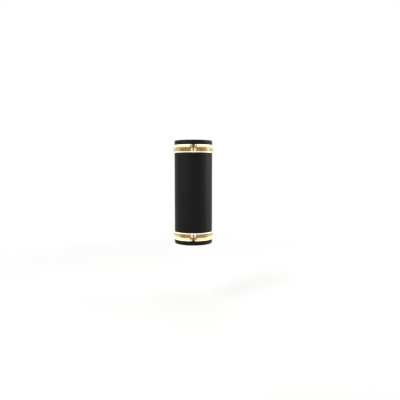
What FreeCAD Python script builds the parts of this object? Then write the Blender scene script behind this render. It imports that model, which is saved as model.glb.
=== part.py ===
import FreeCAD, Part
import math
import os
from FreeCAD import Vector

# Tube wall light that shines up and down, in millimetres.
# The origin is on the wall, midway between the two wall screws. X runs to the right seen from the
# front, Z runs up, and the wall is at Y = 0 with the light on its -Y side.
# Both ends are the same: a clear ring, a cap with its glass, and a lamp in its holder. The upper end
# is modelled, and the lower end is the same pieces turned over about the Y axis.

# ---- Lamp: twist-and-lock reflector lamp, 50 mm across, two pins 10 mm apart
LAMP_R = 25.0
LAMP_HEIGHT = 46.5            # front rim to the underside of the base
LAMP_RIM_HEIGHT = 2.6
LAMP_RIM_STEP = 0.9           # the rim stands this far outside the bowl
LAMP_RIM_WALL = 1.1           # rim outside the front glass
LAMP_SWELL = 2.2              # bulge of the bowl outside a straight cone
LAMP_GLASS_WALL = 1.7
LAMP_BOWL_DEPTH = 24.0        # front rim to the neck of the reflector
LAMP_NECK_R = 13.4
LAMP_NECK_LENGTH = 4.5
LAMP_BASE_WALL = 1.5
LAMP_BASE_FOOT_R = 10.5
LAMP_BASE_EDGE = 0.6
LAMP_FRONT_GLASS = 1.2
LAMP_FRONT_DOME = 1.6
CAPSULE_R = 4.6
CAPSULE_LENGTH = 15.0
PIN_CIRCLE_R = 5.0
PIN_NECK_R = 1.5
PIN_HEAD_R = 2.5
PIN_HEAD_LENGTH = 3.4
LAMP_TWIST = 30.0             # degrees from locked to free

# ---- Clear ring
LAMP_TO_RING = 2.2            # radial gap round the lamp
BOSS_R = 4.2                  # column round each cap screw
BOSS_INSET = 0.2              # the column stands this far back from the bore
RING_PROUD = 2.0              # the ring stands this far outside the tube
RING_HEIGHT = 13.8
RING_BEVEL = 0.8
FLARE_HEIGHT = 5.5            # the bore opens out towards the cap over this height
FLARE_WIDTH = 3.5
SPIGOT_LENGTH = 3.5           # part of the ring that drops into the tube
LAMP_BELOW_RING_TOP = 5.0

# ---- Tube: extruded, with a screw port for each cap screw
TUBE_WALL = 1.8
TUBE_EDGE = 0.4
PORT_WALL = 1.8
PORT_SLIT = 1.6

# ---- Cap, its glass and the seals
CAP_HEIGHT = 8.0
CAP_EDGE = 0.9
CAP_LIP = 2.0                 # thickness of the lip over the glass
CAP_LIP_COVER = 3.2           # how far the lip covers the glass gasket and the glass
CAP_LIP_FLARE = 1.1
CAP_LAND = 1.0                # metal between the glass seat and a screw hole
GLASS_THICKNESS = 3.0
GLASS_EDGE_SEAL = 0.9         # silicone round the edge of the glass
GLASS_LIP_SEAL = 0.8          # silicone between the lip and the glass
GLASS_SEAL_REACH = 2.3
GLASS_BEAD = 1.2              # fillet of silicone under the edge
TUBE_GASKET = 0.6
RIM_GASKET = 0.5
GASKET_SETBACK = 0.3

# ---- Screws
CAP_SCREW_COUNT = 3
CAP_SCREW_R = 1.5
CAP_SCREW_LENGTH = 35.0
CAP_SCREW_HEAD_R = 2.9
SUNK = 0.1                    # countersunk heads lie this far under the surface
SMALL_SCREW_R = 1.5
SMALL_HEAD_R = 2.75
SMALL_HEAD_HEIGHT = 2.0
SMALL_NUT_FLATS = 5.5
SMALL_NUT_HEIGHT = 2.4
BIG_SCREW_R = 2.0
BIG_HEAD_R = 3.6
BIG_HEAD_HEIGHT = 2.4
SOCKET_DEPTH = 1.1
SOCKET_SHARE = 0.42           # corner radius of a hexagon socket over its head's radius
SCREW_FREE = 0.2              # clearance hole over a screw, on the radius
THREAD_FREE = 0.05            # threaded hole over a screw, on the radius
PORT_FREE = 0.1               # screw port over a screw, on the radius

# ---- Lampholder and the bracket that carries both holders
SEAT_GAP = 0.3                # lamp base over holder, and pin head under the keyway plate
HOLDER_HEIGHT = 15.2
HOLDER_HALF_WIDTH = 9.0
HOLDER_END_OFFSET = 8.0       # centre of each rounded end
HOLDER_SCREW_OFFSET = 12.3
HOLDER_SCREW_SINK = 3.0
KEYWAY_PLATE = 2.0
KEYWAY_FREE = 0.15
CONTACT_THICKNESS = 0.6
CONTACT_TAIL_R = 0.8
CONTACT_TAIL = 3.0
BRACKET_HEIGHT = 39.0         # from holder to holder: it sets the length of the whole light
BRACKET_SHEET = 1.5
BRACKET_HALF_WIDTH = 11.0
BRACKET_BEND = 3.0
BRACKET_NOSE = 1.0            # flange past the holder
BRACKET_WALL_GAP = 0.3        # bracket edge to the tube's inside
SPACER_R = 3.5
SADDLE_SCREW_PITCH = 24.0

# ---- Back box, between the tube and the wall
BOX_DEPTH = 27.0              # wall to the back of the tube
BOX_WIDTH = 50.0
BOX_HEIGHT = 96.0
BOX_CORNER = 6.0
BOX_WALL = 2.5
BOX_SEAL = 2.0
PAD_HEIGHT = 1.0              # machined pads inside the saddle
PAD_R = 4.5
BLOCK_PAD_R = 3.1
PAD_THREAD = 2.5              # depth of the block's screws in their pads
SIDE_SCREW_DEPTH = 9.0        # wall to the side screws

# ---- Wall bracket
STRAP_WIDTH = 26.0
STRAP_END_ROOM = 3.5          # strap to the box's inside, above and below
STRAP_CORNER = 4.0
STRAP_SHEET = 1.5
ARM_WIDTH = 14.0
EAR_LENGTH = 15.0
EAR_GAP = 0.3
CABLE_HOLE_R = 8.0
WALL_SLOT_SPACING = 60.0
WALL_SLOT_LENGTH = 8.0
WALL_SLOT_R = 2.25

# ---- Wiring
LEAD_R = 1.0
LEAD_PITCH = 2.6              # between two leads in the grommet
GROMMET_BORE_R = 3.6
GROMMET_NECK_R = 5.0
GROMMET_FLANGE_R = 7.0
GROMMET_LIP = 1.5
BLOCK_LENGTH = 16.0           # along the wires
BLOCK_PITCH = 10.5
BLOCK_END_ROOM = 5.5          # block to the floor of the box
BLOCK_END_WALL = 4.5
BLOCK_WEB = 2.4               # seat of the fixing screws over the middle of the clamps
CLAMP_R = 3.0
CLAMP_BORE_R = 2.4
CLAMP_END = 1.0               # clamp inside the block's end
CLAMP_FLOOR = 1.3             # plastic under a clamp
CLAMP_COVER = 1.0             # plastic over a clamp
TOWER_R = 3.1
TOWER_HEIGHT = 3.6
CLAMP_SCREW_R = 1.25
CLAMP_SCREW_PITCH = 8.0
CLAMP_SCREW_SLOT = 0.5
CLAMP_SCREW_DEPTH = 0.8
LEAD_IN_CLAMP = 5.0
LEAD_OVER_LEAD = 0.4          # gap between two leads in one clamp
LEAD_BEND = 12.0              # upper leads stand this far out of the grommet
LEAD_BEND_STEP = 3.0          # lower leads stand this much less far out
EARTH_X = -8.0
EARTH_Z = 20.2
LUG_R = 4.2
LUG_SHEET = 0.8
LUG_BARREL_R = 2.0
LUG_BARREL_LENGTH = 7.0

# ---- Worked out from the sizes above
ring_bore_r = LAMP_R + LAMP_TO_RING
screw_circle_r = ring_bore_r + BOSS_INSET + BOSS_R
port_bore_r = CAP_SCREW_R + PORT_FREE
port_r = port_bore_r + PORT_WALL
tube_bore_r = screw_circle_r + port_bore_r
tube_r = tube_bore_r + TUBE_WALL
ring_r = tube_r + RING_PROUD
spigot_r = tube_bore_r - SCREW_FREE
axis_y = -(BOX_DEPTH + tube_r)

holder_base = BRACKET_HEIGHT / 2
holder_top = holder_base + HOLDER_HEIGHT
lamp_foot = holder_top + SEAT_GAP
lamp_rim = lamp_foot + LAMP_HEIGHT
ring_top = lamp_rim + LAMP_BELOW_RING_TOP
ring_base = ring_top - RING_HEIGHT
tube_end = ring_base - TUBE_GASKET
cap_base = ring_top + RIM_GASKET
cap_top = cap_base + CAP_HEIGHT

cap_hole_r = CAP_SCREW_R + SCREW_FREE
cap_seat_r = screw_circle_r - cap_hole_r - CAP_LAND
cap_opening_r = cap_seat_r - CAP_LIP_COVER
glass_r = cap_seat_r - GLASS_EDGE_SEAL
lip_under = cap_top - CAP_LIP
glass_top = lip_under - GLASS_LIP_SEAL
glass_under = glass_top - GLASS_THICKNESS

lamp_seat_r = LAMP_R - LAMP_RIM_WALL
neck_top = lamp_rim - LAMP_BOWL_DEPTH
neck_low = neck_top - LAMP_NECK_LENGTH
pin_neck = SEAT_GAP + KEYWAY_PLATE + SEAT_GAP
pin_end = lamp_foot - pin_neck - PIN_HEAD_LENGTH
chamber_top = holder_top - KEYWAY_PLATE
chamber_floor = pin_end - SEAT_GAP - CONTACT_THICKNESS
tail_end = chamber_floor - CONTACT_TAIL
lead_offset = LEAD_PITCH / 2

web_back = math.sqrt(tube_bore_r ** 2 - BRACKET_HALF_WIDTH ** 2) - BRACKET_WALL_GAP
web_front = web_back - BRACKET_SHEET
flange_nose = -(HOLDER_END_OFFSET + HOLDER_HALF_WIDTH + BRACKET_NOSE)
saddle_r = tube_r + BOX_WALL
pad_face = saddle_r + PAD_HEIGHT
ear_face = BOX_WIDTH / 2 - BOX_WALL - EAR_GAP
big_hole_r = BIG_SCREW_R + SCREW_FREE
big_thread_r = BIG_SCREW_R + THREAD_FREE
small_hole_r = SMALL_SCREW_R + SCREW_FREE
block_base = BLOCK_END_ROOM + BOX_WALL - BOX_HEIGHT / 2
block_top = block_base + BLOCK_LENGTH
ridge_r = CLAMP_R + CLAMP_COVER
block_mid = (block_top + block_base) / 2
strap_height = BOX_HEIGHT - 2 * (BOX_WALL + STRAP_END_ROOM)
clamp_y = axis_y + pad_face + CLAMP_FLOOR + CLAMP_R

port_angles = [-90 + 360 * i / CAP_SCREW_COUNT for i in range(CAP_SCREW_COUNT)]


# ---- Shapes used by many pieces
def on_axis(radius, angle, z=0):
    """A point at this radius and angle round the tube's axis."""
    a = math.radians(angle)
    return Vector(radius * math.cos(a), axis_y + radius * math.sin(a), z)


def upright(r, z0, z1, at=None):
    """A cylinder along Z, round the tube's axis unless a point is given."""
    centre = at or Vector(0, axis_y, 0)
    return Part.makeCylinder(r, z1 - z0, Vector(centre.x, centre.y, z0))


def along_y(r, y0, y1, x=0, z=0):
    return Part.makeCylinder(r, y1 - y0, Vector(x, y0, z), Vector(0, 1, 0))


def along_x(r, x0, x1, y, z):
    return Part.makeCylinder(r, x1 - x0, Vector(x0, y, z), Vector(1, 0, 0))


def brick(x0, x1, y0, y1, z0, z1):
    return Part.makeBox(x1 - x0, y1 - y0, z1 - z0, Vector(x0, y0, z0))


def outline(start, steps):
    """A closed wire in the radius-height plane. A step of two numbers is a line to that corner, and
    one of four is an arc through its first point to its second."""
    def place(r, z):
        return Vector(r, axis_y, z)

    edges = []
    here = start
    for step in steps + [start]:
        there = step[-2:]
        if len(step) == 2:
            edges.append(Part.LineSegment(place(*here), place(*there)).toShape())
        else:
            edges.append(Part.Arc(place(*here), place(*step[:2]), place(*there)).toShape())
        here = there
    return Part.Wire(edges)


def turned(start, *steps, angle=360.0):
    """A solid turned about the tube's axis from that outline."""
    face = Part.Face(outline(start, list(steps)))
    solid = face.revolve(Vector(0, axis_y, 0), Vector(0, 0, 1), angle)
    if solid.Volume < 0:
        solid.reverse()
    return solid


def washer(r_in, r_out, z0, z1):
    return turned((r_in, z0), (r_out, z0), (r_out, z1), (r_in, z1))


def sector(r_in, r_out, z0, z1, first, last):
    """Part of a washer, from one angle to another round the tube's axis."""
    solid = turned((r_in, z0), (r_out, z0), (r_out, z1), (r_in, z1), angle=last - first)
    solid.rotate(Vector(0, axis_y, 0), Vector(0, 0, 1), first)
    return solid


def hexagon(corner_r, centre, direction, height):
    """A hexagonal prism that starts at a point and runs along a direction."""
    ring = []
    for i in range(7):
        a = math.radians(60 * i)
        ring.append(Vector(corner_r * math.cos(a), corner_r * math.sin(a), 0))
    prism = Part.Face(Part.makePolygon(ring)).extrude(Vector(0, 0, height))
    prism.Placement = FreeCAD.Placement(centre, FreeCAD.Rotation(Vector(0, 0, 1), direction))
    return prism


def rounded_plate(width, height, corner, y0, y1):
    """A plate in the wall's plane, centred on the origin, with rounded corners."""
    plate = brick(-width / 2, width / 2, y0, y1, -height / 2, height / 2)
    edges = [e for e in plate.Edges if abs(e.Vertexes[0].X - e.Vertexes[-1].X) < 1e-6
             and abs(e.Vertexes[0].Z - e.Vertexes[-1].Z) < 1e-6]
    return plate.makeFillet(corner, edges)


def screw(r, length, head_r, head_height, seat, direction):
    """A pan-head screw with a hexagon socket. The head's underside is at the seat, and the shank
    runs from there along the direction."""
    shank = Part.makeCylinder(r, length, seat, direction)
    head = Part.makeCylinder(head_r, head_height, seat, direction * -1)
    rim = [e for e in head.Edges if e.Closed and (e.CenterOfMass - seat).Length > head_height / 2]
    head = head.makeChamfer(head_height / 4, rim)
    top = seat - direction * head_height
    socket = hexagon(head_r * SOCKET_SHARE, top, direction, SOCKET_DEPTH)
    return head.fuse(shank).removeSplitter().cut(socket)


def nut(corner_r, bore_r, height, base, direction):
    return hexagon(corner_r, base, direction, height).cut(
        Part.makeCylinder(bore_r, height, base, direction))


def lead(points, room):
    """A flexible lead: straight runs joined by tangent arcs. Room limits how far each arc may reach
    along its two runs. Prints the bend radii and compares the volume with the length."""
    edges = []
    radii = []
    here = points[0]
    for i in range(1, len(points) - 1):
        before = points[i] - points[i - 1]
        after = points[i + 1] - points[i]
        turn = before.getAngle(after)
        reach = min(0.45 * before.Length, 0.45 * after.Length, room[i - 1])
        radius = reach / math.tan(turn / 2)
        start = points[i] - before.normalize() * reach
        end = points[i] + after.normalize() * reach
        inward = (start + end) * 0.5 - points[i]
        to_centre = radius / math.cos(turn / 2)
        centre = points[i] + inward.normalize() * to_centre
        middle = centre + (points[i] - centre).normalize() * radius
        edges.append(Part.LineSegment(here, start).toShape())
        edges.append(Part.Arc(start, middle, end).toShape())
        radii.append(radius)
        here = end
    edges.append(Part.LineSegment(here, points[-1]).toShape())
    path = Part.Wire(edges)
    section = Part.Wire(Part.Circle(points[0], points[1] - points[0], LEAD_R).toShape())
    tube = path.makePipeShell([section], True, False)
    if tube.Volume < 0:
        tube.reverse()
    expected = math.pi * LEAD_R ** 2 * path.Length
    print("lead %.0f mm, radii %s, volume ratio %.4f"
          % (path.Length, ["%.1f" % r for r in radii], tube.Volume / expected))
    return tube


def turned_over(shape):
    """The same piece for the lower end."""
    copy = shape.copy()
    copy.rotate(Vector(0, 0, 0), Vector(0, 1, 0), 180)
    return copy


# ---- Tube
def tube_body():
    shell = turned((tube_bore_r, -tube_end), (tube_r - TUBE_EDGE, -tube_end),
                   (tube_r, -tube_end + TUBE_EDGE), (tube_r, tube_end - TUBE_EDGE),
                   (tube_r - TUBE_EDGE, tube_end), (tube_bore_r, tube_end))
    within = upright(tube_bore_r + TUBE_WALL / 2, -tube_end, tube_end)
    for angle in port_angles:
        centre = on_axis(screw_circle_r, angle)
        shell = shell.fuse(upright(port_r, -tube_end, tube_end, centre).common(within))
    for angle in port_angles:
        centre = on_axis(screw_circle_r, angle)
        shell = shell.cut(upright(port_bore_r, -tube_end, tube_end, centre))
        slit = brick(-port_r - 1, 0, -PORT_SLIT / 2, PORT_SLIT / 2, -tube_end, tube_end)
        slit.rotate(Vector(0, 0, 0), Vector(0, 0, 1), angle)
        slit.translate(centre)
        shell = shell.cut(slit)
    back = axis_y + tube_bore_r - 1
    shell = shell.cut(along_y(GROMMET_NECK_R, back, axis_y + tube_r + 1))
    for z in saddle_screw_heights():
        shell = shell.cut(along_y(big_hole_r, back, axis_y + tube_r + 1, 0, z))
    return shell.removeSplitter()


def tube_gasket():
    return washer(spigot_r + SCREW_FREE / 2, tube_r - GASKET_SETBACK, tube_end, ring_base)


# ---- Clear ring
def clear_ring():
    ring = turned((ring_bore_r, ring_base - SPIGOT_LENGTH),
                  (spigot_r - RING_BEVEL / 2, ring_base - SPIGOT_LENGTH),
                  (spigot_r, ring_base - SPIGOT_LENGTH + RING_BEVEL / 2), (spigot_r, ring_base),
                  (ring_r - RING_BEVEL, ring_base), (ring_r, ring_base + RING_BEVEL),
                  (ring_r, ring_top - RING_BEVEL), (ring_r - RING_BEVEL, ring_top),
                  (ring_bore_r + FLARE_WIDTH, ring_top), (ring_bore_r, ring_top - FLARE_HEIGHT))
    for angle in port_angles:
        centre = on_axis(screw_circle_r, angle)
        ring = ring.fuse(upright(BOSS_R, ring_top - FLARE_HEIGHT - 1, ring_top, centre))
    for angle in port_angles:
        centre = on_axis(screw_circle_r, angle)
        ring = ring.cut(upright(cap_hole_r, ring_base - SPIGOT_LENGTH, ring_top, centre))
        ring = ring.cut(upright(port_r + SCREW_FREE, ring_base - SPIGOT_LENGTH,
                                tube_end + TUBE_GASKET / 2, centre))
    return ring.removeSplitter()


def rim_gasket():
    """Die-cut gasket between the ring and the cap, with a lobe round each screw."""
    inner_r = ring_bore_r + FLARE_WIDTH + GASKET_SETBACK
    lobe_r = BOSS_R - GASKET_SETBACK
    gasket = washer(inner_r, tube_r - GASKET_SETBACK, ring_top, cap_base)
    for angle in port_angles:
        lobe = upright(lobe_r, ring_top, cap_base, on_axis(screw_circle_r, angle))
        gasket = gasket.fuse(lobe)
    gasket = gasket.common(washer(cap_seat_r, tube_r - GASKET_SETBACK, ring_top, cap_base))
    for angle in port_angles:
        gasket = gasket.cut(upright(cap_hole_r, ring_top, cap_base, on_axis(screw_circle_r, angle)))
    return gasket.removeSplitter()


# ---- Cap with its glass
def cap():
    body = turned((cap_seat_r, cap_base), (tube_r - TUBE_EDGE, cap_base),
                  (tube_r, cap_base + TUBE_EDGE), (tube_r, cap_top - CAP_EDGE),
                  (tube_r - CAP_EDGE, cap_top), (cap_opening_r + CAP_LIP_FLARE, cap_top),
                  (cap_opening_r, cap_top - CAP_LIP_FLARE), (cap_opening_r, lip_under),
                  (cap_seat_r, lip_under))
    sink = CAP_SCREW_HEAD_R - CAP_SCREW_R + SUNK
    for angle in port_angles:
        centre = on_axis(screw_circle_r, angle)
        body = body.cut(upright(cap_hole_r, cap_base, cap_top, centre))
        cone = Part.makeCone(CAP_SCREW_R, CAP_SCREW_R + sink, sink,
                             Vector(centre.x, centre.y, cap_top - sink))
        body = body.cut(cone)
    return body


def cap_screws():
    """Countersunk screws that run through the ring's columns into the tube's screw ports."""
    made = []
    head_top = cap_top - SUNK
    head_height = CAP_SCREW_HEAD_R - CAP_SCREW_R
    for angle in port_angles:
        centre = on_axis(screw_circle_r, angle)
        shank = upright(CAP_SCREW_R, head_top - CAP_SCREW_LENGTH, head_top - head_height, centre)
        head = Part.makeCone(CAP_SCREW_R, CAP_SCREW_HEAD_R, head_height,
                             Vector(centre.x, centre.y, head_top - head_height))
        socket = hexagon(CAP_SCREW_HEAD_R * SOCKET_SHARE, Vector(centre.x, centre.y, head_top),
                         Vector(0, 0, -1), SOCKET_DEPTH)
        made.append(head.fuse(shank).cut(socket))
    return made


def cap_glass():
    return washer(0, glass_r, glass_under, glass_top)


def glass_seal():
    """Silicone that bonds the glass into the cap's seat, with a bead under the edge."""
    inner_r = cap_seat_r - GLASS_SEAL_REACH
    return turned((inner_r, glass_top), (glass_r, glass_top), (glass_r, glass_under),
                  (glass_r - GLASS_BEAD, glass_under), (cap_seat_r, glass_under - GLASS_BEAD),
                  (cap_seat_r, lip_under), (inner_r, lip_under))


# ---- Lamp
def lamp_reflector():
    """Pressed glass bowl with a rim for the front glass and a neck that sits in the base."""
    rim_low = lamp_rim - LAMP_RIM_HEIGHT
    bowl_r = LAMP_R - LAMP_RIM_STEP
    swell_r = (bowl_r + LAMP_NECK_R) / 2 + LAMP_SWELL
    swell_z = (rim_low + neck_top) / 2
    wall = LAMP_GLASS_WALL
    seat_z = lamp_rim - LAMP_FRONT_GLASS
    well_r = CAPSULE_R + SEAT_GAP
    return turned((well_r, neck_low), (LAMP_NECK_R, neck_low), (LAMP_NECK_R, neck_top),
                  (swell_r, swell_z, bowl_r, rim_low), (LAMP_R, rim_low), (LAMP_R, lamp_rim),
                  (lamp_seat_r, lamp_rim), (lamp_seat_r, seat_z), (bowl_r - wall, seat_z),
                  (bowl_r - wall, rim_low),
                  (swell_r - wall, swell_z, LAMP_NECK_R - wall, neck_top), (well_r, neck_top))


def lamp_front_glass():
    """Domed disc that sits in the reflector's rim."""
    low = lamp_rim - LAMP_FRONT_GLASS
    sphere_r = (lamp_seat_r ** 2 + LAMP_FRONT_DOME ** 2) / (2 * LAMP_FRONT_DOME)
    centre = Vector(0, axis_y, lamp_rim + LAMP_FRONT_DOME - sphere_r)
    dome = Part.makeSphere(sphere_r, centre)
    return upright(lamp_seat_r, low, lamp_rim + LAMP_FRONT_DOME).common(dome)


def lamp_capsule():
    """Quartz capsule that stands in the neck, with a rounded tip."""
    shoulder = neck_top + CAPSULE_LENGTH - CAPSULE_R
    diagonal = CAPSULE_R * math.sqrt(0.5)
    return turned((0, neck_low), (CAPSULE_R, neck_low), (CAPSULE_R, shoulder),
                  (diagonal, shoulder + diagonal, 0, shoulder + CAPSULE_R))


def lamp_base():
    """Ceramic base: a collar round the reflector's neck that narrows to the foot with the pins."""
    collar_top = neck_top - LAMP_GLASS_WALL
    collar_r = LAMP_NECK_R + LAMP_BASE_WALL
    shoulder = neck_low - LAMP_BASE_WALL
    waist = (shoulder + lamp_foot) / 2
    edge = LAMP_BASE_EDGE
    return turned((0, lamp_foot), (LAMP_BASE_FOOT_R - edge, lamp_foot),
                  (LAMP_BASE_FOOT_R, lamp_foot + edge), (LAMP_BASE_FOOT_R + edge, waist),
                  (collar_r, shoulder), (collar_r, collar_top), (LAMP_NECK_R, collar_top),
                  (LAMP_NECK_R, neck_low), (0, neck_low))


def lamp_pins():
    made = []
    head_top = lamp_foot - pin_neck
    for angle in (90, 270):
        centre = on_axis(PIN_CIRCLE_R, angle)
        pin = upright(PIN_NECK_R, head_top, lamp_foot, centre)
        head = upright(PIN_HEAD_R, pin_end, head_top, centre)
        low_rim = [e for e in head.Edges if e.Closed and e.CenterOfMass.z < pin_end + 0.1]
        made.append(pin.fuse(head.makeChamfer(0.4, low_rim)).removeSplitter())
    return made


# ---- Lampholder
def keyway(half_width, z0, z1, first, last):
    """A slot round the lamp's axis with rounded ends."""
    slot = sector(PIN_CIRCLE_R - half_width, PIN_CIRCLE_R + half_width, z0, z1, first, last)
    for angle in (first, last):
        slot = slot.fuse(upright(half_width, z0, z1, on_axis(PIN_CIRCLE_R, angle)))
    return slot


def tail_points():
    """Where the two contact tails and leads stand under the holder."""
    return [Vector(lead_offset, axis_y + PIN_CIRCLE_R, 0),
            Vector(-lead_offset, axis_y - PIN_CIRCLE_R, 0)]


def lampholder():
    """Ceramic holder with two curved keyways: the pin heads go in at the round ends, and the lamp
    then turns until the pin necks lie in the narrow ends."""
    body = brick(-HOLDER_HALF_WIDTH, HOLDER_HALF_WIDTH, axis_y - HOLDER_END_OFFSET,
                 axis_y + HOLDER_END_OFFSET, holder_base, holder_top)
    for angle in (90, 270):
        end = on_axis(HOLDER_END_OFFSET, angle)
        body = body.fuse(upright(HOLDER_HALF_WIDTH, holder_base, holder_top, end))
    head_way = PIN_HEAD_R + KEYWAY_FREE
    for angle in (90, 270):
        body = body.cut(keyway(PIN_NECK_R + KEYWAY_FREE, chamber_top, holder_top,
                               angle, angle + LAMP_TWIST))
        body = body.cut(upright(head_way, chamber_top, holder_top,
                                on_axis(PIN_CIRCLE_R, angle + LAMP_TWIST)))
        body = body.cut(keyway(head_way, chamber_floor, chamber_top, angle, angle + LAMP_TWIST))
        screw_at = on_axis(HOLDER_SCREW_OFFSET, angle)
        body = body.cut(upright(small_hole_r, holder_base, holder_top, screw_at))
        body = body.cut(upright(SMALL_HEAD_R + SCREW_FREE, holder_top - HOLDER_SCREW_SINK,
                                holder_top, screw_at))
    for tail in tail_points():
        body = body.cut(upright(LEAD_R + THREAD_FREE, holder_base, chamber_floor, tail))
    return body.removeSplitter()


def contacts():
    """Brass contact under each pin, with a tail down to the lead."""
    made = []
    half_width = PIN_HEAD_R - SEAT_GAP
    for angle, tail in zip((90, 270), tail_points()):
        blade = keyway(half_width, chamber_floor, chamber_floor + CONTACT_THICKNESS,
                       angle, angle + LAMP_TWIST)
        made.append(blade.fuse(upright(CONTACT_TAIL_R, tail_end, chamber_floor, tail)))
    return made


def holder_screws():
    made = []
    seat_z = holder_top - HOLDER_SCREW_SINK
    reach = seat_z - (holder_base - BRACKET_SHEET - SMALL_NUT_HEIGHT) + 1
    for angle in (90, 270):
        seat = on_axis(HOLDER_SCREW_OFFSET, angle, seat_z)
        made.append(screw(SMALL_SCREW_R, reach, SMALL_HEAD_R, SMALL_HEAD_HEIGHT, seat,
                          Vector(0, 0, -1)))
    return made


def holder_nuts():
    corner_r = SMALL_NUT_FLATS / math.sqrt(3)
    base = holder_base - BRACKET_SHEET
    return [nut(corner_r, SMALL_SCREW_R + THREAD_FREE, SMALL_NUT_HEIGHT,
                on_axis(HOLDER_SCREW_OFFSET, angle, base), Vector(0, 0, -1))
            for angle in (90, 270)]


# ---- Bracket inside the tube
def saddle_screw_heights():
    return (-SADDLE_SCREW_PITCH / 2, SADDLE_SCREW_PITCH / 2)


def lamp_bracket():
    """Folded strip: a web along the back of the tube and a flange under each lampholder."""
    outside = brick(-BRACKET_HALF_WIDTH, BRACKET_HALF_WIDTH, axis_y + flange_nose,
                    axis_y + web_back, -holder_base, holder_base)
    inner_z = holder_base - BRACKET_SHEET
    inside = brick(-BRACKET_HALF_WIDTH, BRACKET_HALF_WIDTH, axis_y + flange_nose,
                   axis_y + web_front, -inner_z, inner_z)

    def bends(solid, y, z):
        return [e for e in solid.Edges if abs(e.CenterOfMass.y - axis_y - y) < 1e-6
                and abs(abs(e.CenterOfMass.z) - z) < 1e-6]

    outside = outside.makeFillet(BRACKET_BEND, bends(outside, web_back, holder_base))
    inside = inside.makeFillet(BRACKET_BEND - BRACKET_SHEET, bends(inside, web_front, inner_z))
    strip = outside.cut(inside)
    nose = [e for e in strip.Edges if abs(e.CenterOfMass.y - axis_y - flange_nose) < 1e-6
            and abs(abs(e.CenterOfMass.x) - BRACKET_HALF_WIDTH) < 1e-6]
    strip = strip.makeFillet(BRACKET_BEND, nose)
    for angle in (90, 270):
        strip = strip.cut(upright(small_hole_r, -holder_base, holder_base,
                                  on_axis(HOLDER_SCREW_OFFSET, angle)))
    for tail in tail_points():
        for hole in (tail, Vector(-tail.x, tail.y, 0)):
            strip = strip.cut(upright(LEAD_R + SCREW_FREE * 2, -holder_base, holder_base, hole))
    for z in saddle_screw_heights():
        strip = strip.cut(along_y(big_thread_r, axis_y + web_front, axis_y + web_back, 0, z))
    window = along_y(GROMMET_NECK_R, axis_y + web_front, axis_y + web_back)
    return strip.cut(window)


def bracket_spacers():
    """Threaded spacers that stand between the web and the curved wall of the tube."""
    wall_y = math.sqrt(tube_bore_r ** 2 - SPACER_R ** 2)
    made = []
    for z in saddle_screw_heights():
        spacer = along_y(SPACER_R, axis_y + web_back, axis_y + wall_y, 0, z)
        bore = along_y(big_thread_r, axis_y + web_back, axis_y + wall_y, 0, z)
        made.append(spacer.cut(bore))
    return made


# ---- Back box
def back_box():
    """Cast box, open to the wall, with a curved saddle that the tube sits in."""
    front = axis_y
    shell = rounded_plate(BOX_WIDTH, BOX_HEIGHT, BOX_CORNER, front, -BOX_SEAL)
    hollow = rounded_plate(BOX_WIDTH - 2 * BOX_WALL, BOX_HEIGHT - 2 * BOX_WALL,
                           BOX_CORNER - BOX_WALL, front, -BOX_SEAL)
    pads = [(PAD_R, 0, z) for z in saddle_screw_heights()]
    pads += [(BLOCK_PAD_R, x, block_mid) for x in block_foot_places()]
    box = shell.cut(hollow.cut(upright(saddle_r, -BOX_HEIGHT, BOX_HEIGHT)))
    for r, x, z in pads:
        box = box.fuse(along_y(r, axis_y + tube_r - BOX_WALL, axis_y + pad_face, x, z))
    box = box.cut(upright(tube_r, -BOX_HEIGHT, BOX_HEIGHT))
    for z in saddle_screw_heights():
        box = box.cut(along_y(big_hole_r, axis_y + tube_r - 3, axis_y + pad_face, 0, z))
    box = box.cut(along_y(GROMMET_NECK_R, axis_y + tube_r - 3, axis_y + saddle_r + 1))
    for x in block_foot_places():
        box = box.cut(along_y(SMALL_SCREW_R + THREAD_FREE, axis_y + pad_face - PAD_THREAD - SCREW_FREE,
                              axis_y + pad_face, x, block_mid))
    half = BOX_WIDTH / 2
    box = box.cut(along_x(big_hole_r, -half - 1, half + 1, -SIDE_SCREW_DEPTH, 0))
    return box.removeSplitter()


def box_gasket():
    """Foam gasket between the box's rim and the wall."""
    outer = rounded_plate(BOX_WIDTH, BOX_HEIGHT, BOX_CORNER, -BOX_SEAL, 0)
    inner = rounded_plate(BOX_WIDTH - 2 * BOX_WALL, BOX_HEIGHT - 2 * BOX_WALL,
                          BOX_CORNER - BOX_WALL, -BOX_SEAL, 0)
    return outer.cut(inner)


def saddle_screws():
    """Screws from inside the box, through the tube's wall, into the spacers and the web."""
    reach = pad_face - web_front + 1
    return [screw(BIG_SCREW_R, reach, BIG_HEAD_R, BIG_HEAD_HEIGHT,
                  Vector(0, axis_y + pad_face, z), Vector(0, -1, 0))
            for z in saddle_screw_heights()]


def box_side_screws():
    """Screws through the box's sides into the ears of the wall bracket."""
    reach = BOX_WIDTH / 2 - ear_face + STRAP_SHEET + 2
    return [screw(BIG_SCREW_R, reach, BIG_HEAD_R, BIG_HEAD_HEIGHT,
                  Vector(side * BOX_WIDTH / 2, -SIDE_SCREW_DEPTH, 0), Vector(-side, 0, 0))
            for side in (-1, 1)]


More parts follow.
